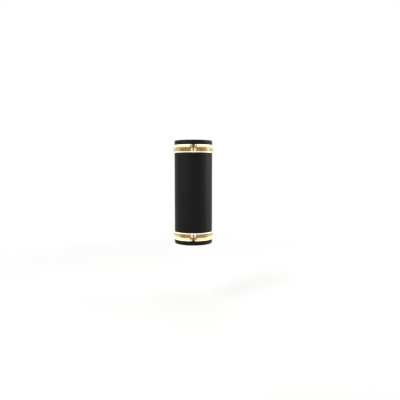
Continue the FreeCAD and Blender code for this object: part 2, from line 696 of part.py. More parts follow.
# ---- Wall bracket
def wall_bracket():
    strap = rounded_plate(STRAP_WIDTH, strap_height, STRAP_CORNER, -STRAP_SHEET, 0)
    arm = brick(-ear_face, ear_face, -STRAP_SHEET, 0, -ARM_WIDTH / 2, ARM_WIDTH / 2)
    plate = strap.fuse(arm)
    for side in (-1, 1):
        outer_x = side * ear_face
        inner_x = side * (ear_face - STRAP_SHEET)
        ear = brick(min(outer_x, inner_x), max(outer_x, inner_x), -EAR_LENGTH, 0,
                    -ARM_WIDTH / 2, ARM_WIDTH / 2)
        tips = [e for e in ear.Edges if abs(e.CenterOfMass.y + EAR_LENGTH) < 1e-6
                and abs(abs(e.CenterOfMass.z) - ARM_WIDTH / 2) < 1e-6]
        plate = plate.fuse(ear.makeFillet(STRAP_CORNER, tips))
    plate = plate.removeSplitter()
    fold = [e for e in plate.Edges if abs(e.CenterOfMass.y) < 1e-6
            and abs(abs(e.CenterOfMass.x) - ear_face) < 1e-6]
    plate = plate.makeFillet(STRAP_SHEET, fold)
    plate = plate.cut(along_y(CABLE_HOLE_R, -STRAP_SHEET, 0))
    plate = plate.cut(along_y(big_thread_r, -STRAP_SHEET, 0, EARTH_X, EARTH_Z))
    plate = plate.cut(along_x(big_thread_r, -ear_face, ear_face, -SIDE_SCREW_DEPTH, 0))
    reach = WALL_SLOT_LENGTH / 2 - WALL_SLOT_R
    for z in (-WALL_SLOT_SPACING / 2, WALL_SLOT_SPACING / 2):
        slot = brick(-WALL_SLOT_R, WALL_SLOT_R, -STRAP_SHEET, 0, z - reach, z + reach)
        for end in (-reach, reach):
            slot = slot.fuse(along_y(WALL_SLOT_R, -STRAP_SHEET, 0, 0, z + end))
        plate = plate.cut(slot)
    return plate.removeSplitter()


# ---- Wiring
def grommet():
    """Rubber grommet through the box's saddle and the tube's wall, with a lip on each side."""
    inner_lip = along_y(GROMMET_FLANGE_R, axis_y + web_back + SEAT_GAP, axis_y + tube_r)
    inner_lip = inner_lip.common(upright(tube_bore_r, -BOX_HEIGHT, BOX_HEIGHT))
    outer_lip = along_y(GROMMET_FLANGE_R, axis_y + tube_r, axis_y + saddle_r + GROMMET_LIP)
    outer_lip = outer_lip.cut(upright(saddle_r, -BOX_HEIGHT, BOX_HEIGHT))
    neck = along_y(GROMMET_NECK_R, axis_y + web_back + SEAT_GAP, axis_y + saddle_r + GROMMET_LIP)
    bore = along_y(GROMMET_BORE_R, axis_y, 0)
    return neck.fuse(inner_lip).fuse(outer_lip).cut(bore).removeSplitter()


def pole_places():
    """Earth, neutral and live, from left to right."""
    return (-BLOCK_PITCH, 0, BLOCK_PITCH)


def block_foot_places():
    return (-BLOCK_PITCH / 2, BLOCK_PITCH / 2)


def tower_heights():
    return (block_mid - CLAMP_SCREW_PITCH / 2, block_mid + CLAMP_SCREW_PITCH / 2)


def terminal_block():
    """Block with a ridge over each clamp, and a tower on the ridge for each clamping screw."""
    half = BLOCK_PITCH + BLOCK_END_WALL
    foot = axis_y + pad_face
    web_top = clamp_y + BLOCK_WEB
    tower_top = clamp_y + ridge_r + TOWER_HEIGHT
    block = brick(-half, half, foot, web_top, block_base, block_top)
    for x in pole_places():
        block = block.fuse(upright(ridge_r, block_base, block_top, Vector(x, clamp_y, 0)))
        for z in tower_heights():
            block = block.fuse(along_y(TOWER_R, clamp_y, tower_top, x, z))
    for x in pole_places():
        block = block.cut(upright(CLAMP_R, block_base, block_top, Vector(x, clamp_y, 0)))
        for z in tower_heights():
            block = block.cut(along_y(CLAMP_SCREW_R + SCREW_FREE, clamp_y, tower_top, x, z))
    for x in block_foot_places():
        block = block.cut(along_y(small_hole_r, foot, web_top, x, block_mid))
        block = block.cut(along_y(SMALL_HEAD_R + SCREW_FREE, web_top, tower_top, x, block_mid))
    return block.removeSplitter()


def terminal_clamps():
    """Brass clamping tubes, one to each pole."""
    made = []
    for x in pole_places():
        at = Vector(x, clamp_y, 0)
        clamp = upright(CLAMP_R, block_base + CLAMP_END, block_top - CLAMP_END, at)
        clamp = clamp.cut(upright(CLAMP_BORE_R, block_base, block_top, at))
        for z in tower_heights():
            clamp = clamp.cut(along_y(CLAMP_SCREW_R + THREAD_FREE, clamp_y, clamp_y + ridge_r, x, z))
        made.append(clamp)
    return made


def terminal_screws():
    tip = clamp_y + CLAMP_BORE_R + THREAD_FREE
    top = clamp_y + ridge_r + TOWER_HEIGHT / 2
    half = CLAMP_SCREW_SLOT / 2
    made = []
    for x in pole_places():
        for z in tower_heights():
            stud = along_y(CLAMP_SCREW_R, tip, top, x, z)
            slot = brick(x - CLAMP_SCREW_R, x + CLAMP_SCREW_R, top - CLAMP_SCREW_DEPTH, top,
                         z - half, z + half)
            made.append(stud.cut(slot))
    return made


def block_screws():
    """Screws through the block into the pads on the saddle."""
    seat_y = clamp_y + BLOCK_WEB
    reach = seat_y - (axis_y + pad_face) + PAD_THREAD
    return [screw(SMALL_SCREW_R, reach, SMALL_HEAD_R, SMALL_HEAD_HEIGHT,
                  Vector(x, seat_y, block_mid), Vector(0, -1, 0)) for x in block_foot_places()]


def earth_screw():
    return screw(BIG_SCREW_R, LUG_SHEET + STRAP_SHEET, BIG_HEAD_R, BIG_HEAD_HEIGHT,
                 Vector(EARTH_X, -STRAP_SHEET - LUG_SHEET, EARTH_Z), Vector(0, 1, 0))


def barrel_centre():
    return Vector(EARTH_X, -STRAP_SHEET - LUG_BARREL_R, 0)


def earth_lug():
    """Ring terminal under the earth screw, with a barrel crimped on the lead."""
    ring = along_y(LUG_R, -STRAP_SHEET - LUG_SHEET, -STRAP_SHEET, EARTH_X, EARTH_Z)
    barrel_top = EARTH_Z - LUG_R
    tongue = brick(EARTH_X - LUG_BARREL_R, EARTH_X + LUG_BARREL_R, -STRAP_SHEET - LUG_SHEET,
                   -STRAP_SHEET, barrel_top - 1, EARTH_Z)
    barrel = upright(LUG_BARREL_R, barrel_top - LUG_BARREL_LENGTH, barrel_top, barrel_centre())
    lug = ring.fuse(tongue).fuse(barrel)
    lug = lug.cut(along_y(big_hole_r, -STRAP_SHEET - LUG_SHEET, -STRAP_SHEET, EARTH_X, EARTH_Z))
    lug = lug.cut(upright(LEAD_R, barrel_top - LUG_BARREL_LENGTH, barrel_top, barrel_centre()))
    return lug.removeSplitter()


def lamp_leads():
    """Four leads: out of each holder, down the tube's middle, back through the grommet and down
    into the terminal block. Live leads run on the right and neutral leads on the left."""
    near, far = [p.y for p in tail_points()]
    box_face = axis_y + saddle_r + GROMMET_LIP
    routes = (("upper_live_lead", 1, 1, near, BLOCK_PITCH), ("upper_neutral_lead", 1, -1, far, 0),
              ("lower_live_lead", -1, 1, far, BLOCK_PITCH), ("lower_neutral_lead", -1, -1, near, 0))
    made = {}
    for name, end, side, start_y, pole_x in routes:
        x = side * lead_offset
        z = end * lead_offset
        bend = LEAD_BEND if end > 0 else LEAD_BEND - LEAD_BEND_STEP
        turn_y = box_face + bend
        clamp_in_y = clamp_y + end * (LEAD_R + LEAD_OVER_LEAD / 2)
        third = (pole_x - x) / 3
        points = [Vector(x, start_y, end * tail_end), Vector(x, start_y, z), Vector(x, turn_y, z),
                  Vector(x + third, turn_y - 1.5, block_top + 8),
                  Vector(pole_x, clamp_in_y, block_top + 1),
                  Vector(pole_x, clamp_in_y, block_top - LEAD_IN_CLAMP)]
        made[name] = lead(points, [tail_end, bend, BLOCK_LENGTH, LEAD_IN_CLAMP])
    return made


def earth_lead():
    end = barrel_centre()
    top = EARTH_Z - LUG_R
    mouth = top - LUG_BARREL_LENGTH
    points = [Vector(-BLOCK_PITCH, clamp_y, block_top - LEAD_IN_CLAMP),
              Vector(-BLOCK_PITCH - 0.5, clamp_y + 0.4, block_top + 8),
              Vector(-BLOCK_PITCH - 4, clamp_y + 7, block_top + 19),
              Vector(end.x, end.y, mouth - 3), Vector(end.x, end.y, top - 1)]
    return lead(points, [20, 20, 20])


# ---- The whole light, one file to a node
def main():
    upper_end = {
        "tube_gasket": tube_gasket(), "ring": clear_ring(), "rim_gasket": rim_gasket(),
        "cap": cap(), "cap_screws": cap_screws(), "glass": cap_glass(),
        "glass_seal": glass_seal(), "lamp_reflector": lamp_reflector(),
        "lamp_front_glass": lamp_front_glass(), "lamp_capsule": lamp_capsule(),
        "lamp_base": lamp_base(), "lamp_pins": lamp_pins(), "lampholder": lampholder(),
        "contacts": contacts(), "holder_screws": holder_screws(), "holder_nuts": holder_nuts(),
    }
    nodes = {
        "tube_body": tube_body(), "lamp_bracket": lamp_bracket(),
        "bracket_spacers": bracket_spacers(), "back_box": back_box(), "box_gasket": box_gasket(),
        "saddle_screws": saddle_screws(), "box_side_screws": box_side_screws(),
        "wall_bracket": wall_bracket(), "wire_grommet": grommet(),
        "terminal_block": terminal_block(), "terminal_clamps": terminal_clamps(),
        "terminal_screws": terminal_screws(), "block_screws": block_screws(),
        "earth_screw": earth_screw(), "earth_lug": earth_lug(), "earth_lead": earth_lead(),
    }
    nodes.update(lamp_leads())
    for name, shape in upper_end.items():
        solids = shape if isinstance(shape, list) else [shape]
        nodes["upper_" + name] = solids
        nodes["lower_" + name] = [turned_over(s) for s in solids]
    os.makedirs("parts", exist_ok=True)
    for name, shape in nodes.items():
        solids = shape if isinstance(shape, list) else [shape]
        pieces = [s for whole in solids for s in whole.Solids]
        if len(pieces) != len(solids) or not all(s.isValid() and s.Volume > 0 for s in pieces):
            print("check this node:", name, len(solids), len(pieces))
        whole = pieces[0] if len(pieces) == 1 else Part.makeCompound(pieces)
        whole.exportStep("parts/%s.step" % name)
    print("%d nodes, %.1f mm high, %.1f mm from wall to front" % (len(nodes), 2 * cap_top,
                                                                  ring_r - axis_y))


main()
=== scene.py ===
import math

import bmesh
import bpy
from bpy.props import FloatProperty, FloatVectorProperty, IntProperty, PointerProperty
from mathutils import Matrix, Vector, geometry, noise


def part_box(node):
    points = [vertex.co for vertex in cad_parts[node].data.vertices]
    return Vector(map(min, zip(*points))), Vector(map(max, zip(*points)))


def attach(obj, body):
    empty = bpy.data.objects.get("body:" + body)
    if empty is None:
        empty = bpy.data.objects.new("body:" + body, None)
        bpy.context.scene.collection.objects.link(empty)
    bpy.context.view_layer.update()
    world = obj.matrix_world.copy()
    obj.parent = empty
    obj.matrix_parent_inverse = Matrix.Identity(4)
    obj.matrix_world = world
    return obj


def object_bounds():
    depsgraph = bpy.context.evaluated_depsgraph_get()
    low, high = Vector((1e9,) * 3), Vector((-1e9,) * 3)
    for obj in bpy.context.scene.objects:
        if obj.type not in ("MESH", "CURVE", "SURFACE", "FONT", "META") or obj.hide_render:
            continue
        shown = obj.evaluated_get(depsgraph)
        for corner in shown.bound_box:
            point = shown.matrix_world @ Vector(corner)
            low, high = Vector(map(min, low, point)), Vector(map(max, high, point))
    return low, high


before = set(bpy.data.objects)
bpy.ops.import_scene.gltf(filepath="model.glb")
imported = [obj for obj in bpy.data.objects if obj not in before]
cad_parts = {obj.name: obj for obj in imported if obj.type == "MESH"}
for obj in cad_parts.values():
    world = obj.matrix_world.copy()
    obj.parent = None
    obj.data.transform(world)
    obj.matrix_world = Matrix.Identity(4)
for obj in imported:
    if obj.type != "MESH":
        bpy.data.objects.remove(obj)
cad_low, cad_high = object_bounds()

bl_info = {
    "name": "Tube wall light",
    "version": (1, 0, 0),
    "blender": (4, 5, 0),
    "location": "3D View > Sidebar > Wall light",
    "description": "Finishes the pieces of a tube wall light and sets up its studio",
    "category": "Object",
}

MM = 0.001
ENDS = ("upper", "lower")
PHOTO_WIDTH = 400
SENSOR_MM = 36.0
NOISE_LOW, NOISE_HIGH = 0.3, 0.7       # nearly all of a noise texture lies between these
DRAWN_ALONG_Z = (1.0, 1.0, 0.05)       # stretches a texture into lines along the tube
FLOOR_R = 6.0                          # metres, far past the edge of the picture
FLOOR_SIDES = 96
FLOOR_WHITE = (0.2, 0.7)               # metres from the light over which the floor turns white
FLOOR_NEAR_SHARE = 0.25                # of that white, under the light
TURN_STEPS = 20                        # steps in one turn of a coil or thread
WIRE_SIDES = 8
# Name, place from the middle of the light, width, height and share of the softbox's power
LIGHTS = (("key", (-0.75, -0.55, 0.65), 0.55, 0.9, 1.0),
          ("side", (0.95, 0.1, 0.25), 0.4, 1.0, 0.7),
          ("top", (0.1, 0.35, 1.0), 1.5, 1.5, 1.2))


# ---- Colours and nodes
def from_hex(code):
    """An sRGB hex colour as linear red, green and blue."""
    parts = [int(code[i:i + 2], 16) / 255 for i in (1, 3, 5)]
    return tuple(c / 12.92 if c <= 0.04045 else ((c + 0.055) / 1.055) ** 2.4 for c in parts)


def opaque(colour):
    return (*colour, 1.0)


def add(tree, kind, inputs=None, **settings):
    """Adds one node with its settings. An input given a socket is linked, and one given a value is set."""
    made = tree.nodes.new(kind)
    for name, value in settings.items():
        setattr(made, name, value)
    for name, value in (inputs or {}).items():
        if isinstance(value, bpy.types.NodeSocket):
            tree.links.new(value, made.inputs[name])
        else:
            made.inputs[name].default_value = value
    return made


def begin(name, **sockets):
    """A new material with one Principled shader. Returns the material, its tree and the shader."""
    made = bpy.data.materials.new(name)
    made.use_nodes = True
    tree = made.node_tree
    tree.nodes.clear()
    shader = add(tree, "ShaderNodeBsdfPrincipled",
                 {key.replace("_", " "): value for key, value in sockets.items()})
    add(tree, "ShaderNodeOutputMaterial", {"Surface": shader.outputs[0]})
    return made, tree, shader


def place(tree):
    return add(tree, "ShaderNodeTexCoord").outputs["Object"]


def per_metre(millimetres):
    """Texture scale for a pattern whose features are this wide."""
    return 1 / (millimetres * MM)


def grain(tree, size_mm, detail=3.0, at=None):
    """Noise whose lumps are this wide."""
    return add(tree, "ShaderNodeTexNoise", {"Vector": at or place(tree), "Scale": per_metre(size_mm),
                                            "Detail": detail}).outputs["Fac"]


def between(tree, value, low, high, out_low, out_high):
    """A value brought from one range to another, and held inside it."""
    return add(tree, "ShaderNodeMapRange", {"Value": value, "From Min": low, "From Max": high,
                                            "To Min": out_low, "To Max": out_high}).outputs[0]


def over_noise(tree, noise_value, out_low, out_high):
    """A noise value brought to a range."""
    return between(tree, noise_value, NOISE_LOW, NOISE_HIGH, out_low, out_high)


def blend_colours(tree, factor, first, second):
    return add(tree, "ShaderNodeMix", {0: factor, 6: first, 7: second}, data_type="RGBA").outputs[2]


def maths(tree, operation, first, second=0.0):
    """One sum, of sockets or numbers."""
    return add(tree, "ShaderNodeMath", {0: first, 1: second}, operation=operation).outputs[0]


def relief(tree, shader, height, depth_mm, strength=1.0):
    bump = add(tree, "ShaderNodeBump", {"Height": height, "Distance": depth_mm * MM,
                                        "Strength": strength})
    tree.links.new(bump.outputs[0], shader.inputs["Normal"])


def from_axis(tree):
    """Distance from the tube's axis, and height without its sign, both in metres."""
    parts = add(tree, "ShaderNodeSeparateXYZ", {0: place(tree)})
    depth = maths(tree, "SUBTRACT", parts.outputs[1], AXIS_Y)
    flat = add(tree, "ShaderNodeCombineXYZ", {0: parts.outputs[0], 1: depth})
    radius = add(tree, "ShaderNodeVectorMath", {0: flat.outputs[0]}, operation="LENGTH")
    return radius.outputs["Value"], maths(tree, "ABSOLUTE", parts.outputs[2])


def from_cap_screws(tree):
    """Distance from the nearest cap screw's axis, in metres."""
    parts = add(tree, "ShaderNodeSeparateXYZ", {0: place(tree)})
    flat = add(tree, "ShaderNodeCombineXYZ", {0: parts.outputs[0], 1: parts.outputs[1]}).outputs[0]
    gaps = [add(tree, "ShaderNodeVectorMath", {0: flat, 1: centre}, operation="DISTANCE").outputs["Value"]
            for centre in SCREW_PLACES]
    return maths(tree, "MINIMUM", gaps[0], maths(tree, "MINIMUM", gaps[1], gaps[2]))


# ---- Sizes that the finishes need, from the frame
tube_low, tube_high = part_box("tube_body")
AXIS_Y = (tube_low.y + tube_high.y) / 2
TUBE_R = (tube_high.x - tube_low.x) / 2
ring_low, ring_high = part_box("upper_ring")
RING_R = (ring_high.x - ring_low.x) / 2
RING_TOP = ring_high.z
TUBE_GASKET = 0.6 * MM
RING_BASE = tube_high.z + TUBE_GASKET
LAMP_LOW, LAMP_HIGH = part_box("upper_lamp_reflector")
LAMP_R = (LAMP_HIGH.x - LAMP_LOW.x) / 2
LAMP_FREE = 2.2 * MM                   # lamp to the clear ring's bore
MOUTH_R = LAMP_R + LAMP_FREE
MOUTH_HEIGHT = 5.5 * MM                # the bore flares out over this height
MOUTH_FLARE = 3.5 * MM
BEVEL = 0.8 * MM
BEVEL_FADE = 0.1 * BEVEL
COLUMN_R = 4.2 * MM                    # column of acrylic round each cap screw
COLUMN_INSET = 0.2 * MM                # the column stands this far back from the bore
CAP_SCREW_R = 1.5 * MM
SCREW_FREE = 0.4 * MM
SCREW_HOLE_R = CAP_SCREW_R + SCREW_FREE
SCREW_CIRCLE_R = MOUTH_R + COLUMN_INSET + COLUMN_R
SCREW_PLACES = [Vector((SCREW_CIRCLE_R * math.cos(angle), AXIS_Y + SCREW_CIRCLE_R * math.sin(angle), 0))
                for angle in (math.radians(-90 + 120 * number) for number in range(3))]

# Where the ring's satin faces, its painted glow and its painted shade end: full up to the first distance,
# and gone at the second
CONE_SKIN = (0.12 * MM, 0.3 * MM)
COLUMN_SKIN = (0.1 * MM, 0.2 * MM)
BORE_SKIN = (1.2 * MM, 1.8 * MM)
BEHIND_COLUMN = (COLUMN_R * 1.3, COLUMN_R * 1.6)
IN_SCREW_HOLE = (SCREW_HOLE_R, SCREW_HOLE_R * 1.15)
HOLE_SHADE = 0.1
LIP_FADE = 0.4 * MM
CORNER_GAP = 0.25 * MM                 # column to the painted shade in the corner beside it
CORNER_FADE = 0.3 * MM


# ---- Finishes
def satin_powder_coat(look):
    """Black polyester powder on aluminium, baked: its orange peel breaks up soft reflections."""
    made, tree, shader = begin("satin_black_powder_coat", IOR=1.5, Specular_IOR_Level=0.14)
    peel = grain(tree, 0.9, 2.0)
    cloud = grain(tree, 22.0)
    deep = opaque(look.coat)
    dusty = opaque(from_hex("#16140F"))
    colour = blend_colours(tree, between(tree, cloud, 0.35, 0.75, 0.0, 0.35), deep, dusty)
    tree.links.new(colour, shader.inputs["Base Color"])
    rough = over_noise(tree, cloud, look.coat_roughness - 0.05, look.coat_roughness + 0.05)
    tree.links.new(rough, shader.inputs["Roughness"])
    relief(tree, shader, peel, 0.018)
    return made


def clear_acrylic(look):
    """Cast acrylic, turned and polished. The flared mouth and the outer bevels are left satin. The lamp's
    light that runs inside the wall and leaves it at the satin faces and at the columns round the screws is
    painted on as a glow, and painted shade darkens the corners beside the columns and the screw holes."""
    made, tree, shader = begin("clear_cast_acrylic", IOR=1.49)
    shader.inputs["Transmission Weight"].default_value = 1.0
    radius, height = from_axis(tree)
    screw = from_cap_screws(tree)
    mouth_z = RING_TOP - MOUTH_HEIGHT
    rise = maths(tree, "SUBTRACT", height, mouth_z)
    cone = maths(tree, "ADD", maths(tree, "MULTIPLY", rise, MOUTH_FLARE / MOUTH_HEIGHT), MOUTH_R)
    off_cone = maths(tree, "ABSOLUTE", maths(tree, "SUBTRACT", radius, cone))
    on_cone = maths(tree, "MULTIPLY", between(tree, off_cone, *CONE_SKIN, 1.0, 0.0),
                    between(tree, rise, look.polished_lip, look.polished_lip + LIP_FADE, 0.0, 1.0))
    outer = between(tree, radius, RING_R - BEVEL - BEVEL_FADE, RING_R - BEVEL + BEVEL_FADE, 0.0, 1.0)
    low_edge = maths(tree, "MULTIPLY", outer, between(tree, height, RING_BASE + BEVEL,
                                                      RING_BASE + look.satin_foot, look.foot_share, 0.0))
    high_edge = maths(tree, "MULTIPLY", outer, between(tree, height, RING_TOP - BEVEL - 2 * BEVEL_FADE,
                                                       RING_TOP - BEVEL, 0.0, 1.0))
    inner = between(tree, maths(tree, "SUBTRACT", radius, MOUTH_R), *BORE_SKIN, 1.0, 0.0)
    behind = maths(tree, "MULTIPLY", inner, between(tree, screw, *BEHIND_COLUMN, look.column_share, 0.0))
    off_column = maths(tree, "ABSOLUTE", maths(tree, "SUBTRACT", screw, COLUMN_R))
    by_column = maths(tree, "MAXIMUM", behind, between(tree, off_column, *COLUMN_SKIN,
                                                       look.column_share, 0.0))
    satin = maths(tree, "MAXIMUM", on_cone, maths(tree, "MAXIMUM", low_edge, high_edge))
    lit = maths(tree, "MAXIMUM", satin, by_column)
    # Painted shade: the corner where the flare meets each screw column, and the inside of the screw holes,
    # darken the acrylic's colour and its glow
    middle = COLUMN_R + CORNER_GAP + look.corner_width / 2
    flank = maths(tree, "ABSOLUTE", maths(tree, "SUBTRACT", screw, middle))
    corner = maths(tree, "MULTIPLY", between(tree, flank, look.corner_width / 2 - CORNER_FADE,
                                             look.corner_width / 2, 1.0, 0.0),
                   between(tree, rise, -LIP_FADE, 0.0, 0.0, 1.0))
    painted_hole_shade = between(tree, screw, *IN_SCREW_HOLE, HOLE_SHADE, 0.0)
    dark = maths(tree, "MAXIMUM", corner, painted_hole_shade)
    tree.links.new(blend_colours(tree, dark, opaque(look.acrylic), opaque(look.acrylic_painted_shade)),
                   shader.inputs["Base Color"])
    # Painted glow: emission over the whole clear wall, stronger at the satin faces and round the screw
    # columns, standing in for the lamp's light carried in the acrylic
    mottle = over_noise(tree, grain(tree, 2.5), 0.8, 1.0)
    spread = between(tree, lit, 0.0, 1.0, look.wall_glow, look.edge_glow)
    glow = maths(tree, "MULTIPLY", spread, maths(tree, "MULTIPLY", mottle,
                                                 maths(tree, "SUBTRACT", 1.0, dark)))
    shader.inputs["Emission Color"].default_value = opaque(look.cream)
    tree.links.new(glow, shader.inputs["Emission Strength"])
    tree.links.new(between(tree, satin, 0.0, 1.0, 0.02, 0.45), shader.inputs["Roughness"])
    relief(tree, shader, grain(tree, 14.0), 0.05, 0.3)
    return made


def toughened_glass():
    """Clear float glass with a faint green body. Its fine haze shows only at a glance."""
    made, tree, shader = begin("clear_toughened_glass", IOR=1.52)
    shader.inputs["Transmission Weight"].default_value = 1.0
    shader.inputs["Base Color"].default_value = opaque(from_hex("#F1F8F3"))
    haze = between(tree, grain(tree, 9.0), 0.4, 0.75, 0.01, 0.05)
    tree.links.new(haze, shader.inputs["Roughness"])
    return made


def lamp_lens(look):
    """Front glass of a lit lamp: clear pressed glass, hazed by the light over the capsule."""
    made, tree, shader = begin("lit_front_glass", IOR=1.47)
    shader.inputs["Transmission Weight"].default_value = 1.0
    radius, _ = from_axis(tree)
    shader.inputs["Base Color"].default_value = opaque(from_hex("#FFFAF0"))
    shader.inputs["Emission Color"].default_value = opaque(look.warm_white)
    tree.links.new(between(tree, radius, 0.1 * LAMP_R, 0.5 * LAMP_R, look.lamp_glow * 0.12,
                           look.lamp_glow * 0.02), shader.inputs["Emission Strength"])
    tree.links.new(over_noise(tree, grain(tree, 6.0), 0.01, 0.06), shader.inputs["Roughness"])
    return made


def mirror_coated_glass(look):
    """Pressed glass with a thin mirror coat inside: the coat lets amber light out of the back."""
    made, tree, shader = begin("mirror_coated_pressed_glass", IOR=1.5, Roughness=0.18)
    _, height = from_axis(tree)
    streak = add(tree, "ShaderNodeMapping", {"Vector": place(tree), "Scale": (1.0, 1.0, 0.12)})
    streaks = grain(tree, 3.4, 2.0, streak.outputs[0])
    bright = opaque(look.amber)
    deep = opaque(from_hex("#54400F"))
    colour = blend_colours(tree, between(tree, streaks, 0.35, 0.65, 0.0, 1.0), deep, bright)
    shader.inputs["Base Color"].default_value = opaque(from_hex("#83703C"))
    tree.links.new(colour, shader.inputs["Emission Color"])
    glow = between(tree, height, LAMP_LOW.z, LAMP_HIGH.z, look.reflector_glow * 0.45,
                   look.reflector_glow)
    tree.links.new(glow, shader.inputs["Emission Strength"])
    relief(tree, shader, streaks, 0.1, 0.4)
    return made


def mirror_facets(look):
    """Evaporated mirror coat on pressed facets, each a little different in tone. The coil's reflection in
    them is painted on as a glow, brighter towards the axis and different on each facet.
    """
    made, tree, shader = begin("faceted_mirror_coat", Metallic=1.0, Roughness=0.12)
    facet = add(tree, "ShaderNodeAttribute", attribute_name="facet").outputs["Fac"]
    radius, _ = from_axis(tree)
    tree.links.new(blend_colours(tree, facet, opaque(from_hex("#A8946A")), opaque(from_hex("#F2E4C0"))),
                   shader.inputs["Base Color"])
    shader.inputs["Emission Color"].default_value = opaque(look.warm_white)
    # Painted reflection of the coil: emission brighter towards the axis, varied facet by facet
    near = between(tree, radius, 0.4 * LAMP_R, 0.95 * LAMP_R, look.lamp_glow, look.lamp_glow * 0.35)
    tree.links.new(maths(tree, "MULTIPLY", near, between(tree, facet, 0.0, 0.9, 0.2, 1.0)),
                   shader.inputs["Emission Strength"])
    return made


def quartz():
    """Clear quartz capsule, slightly smoked at the foot."""
    made, tree, shader = begin("clear_quartz", IOR=1.46)
    shader.inputs["Transmission Weight"].default_value = 1.0
    _, height = from_axis(tree)
    foot = between(tree, height, LAMP_LOW.z, LAMP_LOW.z + 8 * MM, 0.0, 1.0)
    tree.links.new(blend_colours(tree, foot, opaque(from_hex("#B9A98A")), opaque(from_hex("#FFFBF2"))),
                   shader.inputs["Base Color"])
    tree.links.new(between(tree, foot, 0.0, 1.0, 0.15, 0.02), shader.inputs["Roughness"])
    return made


def glowing_coil(look):
    """Tungsten coil at white heat, a little cooler between its turns."""
    made, tree, shader = begin("glowing_tungsten", Roughness=0.5)
    turn = grain(tree, 1.2)
    tree.links.new(blend_colours(tree, turn, opaque(from_hex("#FFD08A")), opaque(from_hex("#FFF0D2"))),
                   shader.inputs["Emission Color"])
    shader.inputs["Emission Strength"].default_value = look.coil_glow
    return made


def steatite():
    """Pressed and fired steatite: off-white, dry and slightly speckled."""
    made, tree, shader = begin("unglazed_steatite", Roughness=0.62, IOR=1.55)
    speck = between(tree, grain(tree, 0.8), 0.55, 0.72, 0.0, 0.5)
    tree.links.new(blend_colours(tree, speck, opaque(from_hex("#E9E4D8")), opaque(from_hex("#BFB6A4"))),
                   shader.inputs["Base Color"])
    relief(tree, shader, grain(tree, 0.5), 0.03)
    return made


def worked_metal(name, pale, dark, roughness, brush_mm):
    """Metal with drawn or rolled lines along the tube."""
    made, tree, shader = begin(name, Metallic=1.0)
    lines = add(tree, "ShaderNodeMapping", {"Vector": place(tree), "Scale": DRAWN_ALONG_Z})
    brush = grain(tree, brush_mm, 4.0, lines.outputs[0])
    blotch = grain(tree, 7.0)
    mixed = maths(tree, "ADD", maths(tree, "MULTIPLY", brush, 0.5), maths(tree, "MULTIPLY", blotch, 0.5))
    tree.links.new(blend_colours(tree, between(tree, mixed, 0.35, 0.65, 0.0, 1.0), opaque(dark),
                                 opaque(pale)), shader.inputs["Base Color"])
    tree.links.new(over_noise(tree, mixed, roughness + 0.08, roughness - 0.06),
                   shader.inputs["Roughness"])
    relief(tree, shader, brush, 0.01, 0.5)
    return made


def zinc_plate():
    """Bright zinc over pressed steel: small crystals in slightly different greys."""
    made, tree, shader = begin("zinc_plated_steel", Metallic=1.0)
    spangle = add(tree, "ShaderNodeTexVoronoi", {"Vector": place(tree), "Scale": per_metre(3.0)})
    shade = add(tree, "ShaderNodeSeparateColor", {0: spangle.outputs["Color"]}).outputs[0]
    tree.links.new(blend_colours(tree, shade, opaque(from_hex("#A9ADAF")), opaque(from_hex("#C6CACB"))),
                   shader.inputs["Base Color"])
    tree.links.new(between(tree, shade, 0.0, 1.0, 0.28, 0.42), shader.inputs["Roughness"])
    relief(tree, shader, grain(tree, 0.7), 0.008)
    return made


def moulded(name, pale, dark, roughness, grit_mm, depth_mm):
    """Moulded or extruded plastic and rubber: a fine matt skin with slow colour drift."""
    made, tree, shader = begin(name, IOR=1.5)
    drift = over_noise(tree, grain(tree, 12.0), 0.0, 1.0)
    tree.links.new(blend_colours(tree, drift, opaque(pale), opaque(dark)), shader.inputs["Base Color"])
    grit = grain(tree, grit_mm)
    tree.links.new(over_noise(tree, grit, roughness - 0.06, roughness + 0.06),
                   shader.inputs["Roughness"])
    relief(tree, shader, grit, depth_mm)
    return made


def closed_cell_foam():
    """Black foam strip: small closed cells that show as pits on the cut edge."""
    made, tree, shader = begin("closed_cell_foam", Roughness=0.85)
    cells = add(tree, "ShaderNodeTexVoronoi", {"Vector": place(tree), "Scale": per_metre(0.9)})
    tree.links.new(blend_colours(tree, cells.outputs["Distance"], opaque(from_hex("#0E0E0E")),
                                 opaque(from_hex("#242424"))), shader.inputs["Base Color"])
    relief(tree, shader, cells.outputs["Distance"], 0.2)
    return made


# ---- Pieces
def finish_node(name, material):
    """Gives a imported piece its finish, and leaves its shape alone."""
    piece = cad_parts[name]
    if not piece.material_slots:
        raise RuntimeError(f"{name} has no material slot")
    for slot in piece.material_slots:
        slot.material = material


def finish_ends(names, material):
    for end in ENDS:
        for name in names:
            finish_node(f"{end}_{name}", material)


def keep(name, shape, material, body, smooth=False):
    """Makes an object of a finished bmesh, at the origin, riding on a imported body."""
    mesh = bpy.data.meshes.new(name)
    for face in shape.faces:
        face.smooth = smooth
    shape.to_mesh(mesh)
    shape.free()
    mesh.materials.append(material)
    piece = bpy.data.objects.new(name, mesh)
    bpy.context.scene.collection.objects.link(piece)
    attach(piece, body)
    return piece


def turn_over(shape):
    """Turns a piece of the upper end into the lower one's place."""
    bmesh.ops.rotate(shape, verts=shape.verts, cent=(0, 0, 0), matrix=Matrix.Rotation(math.pi, 3, "Y"))


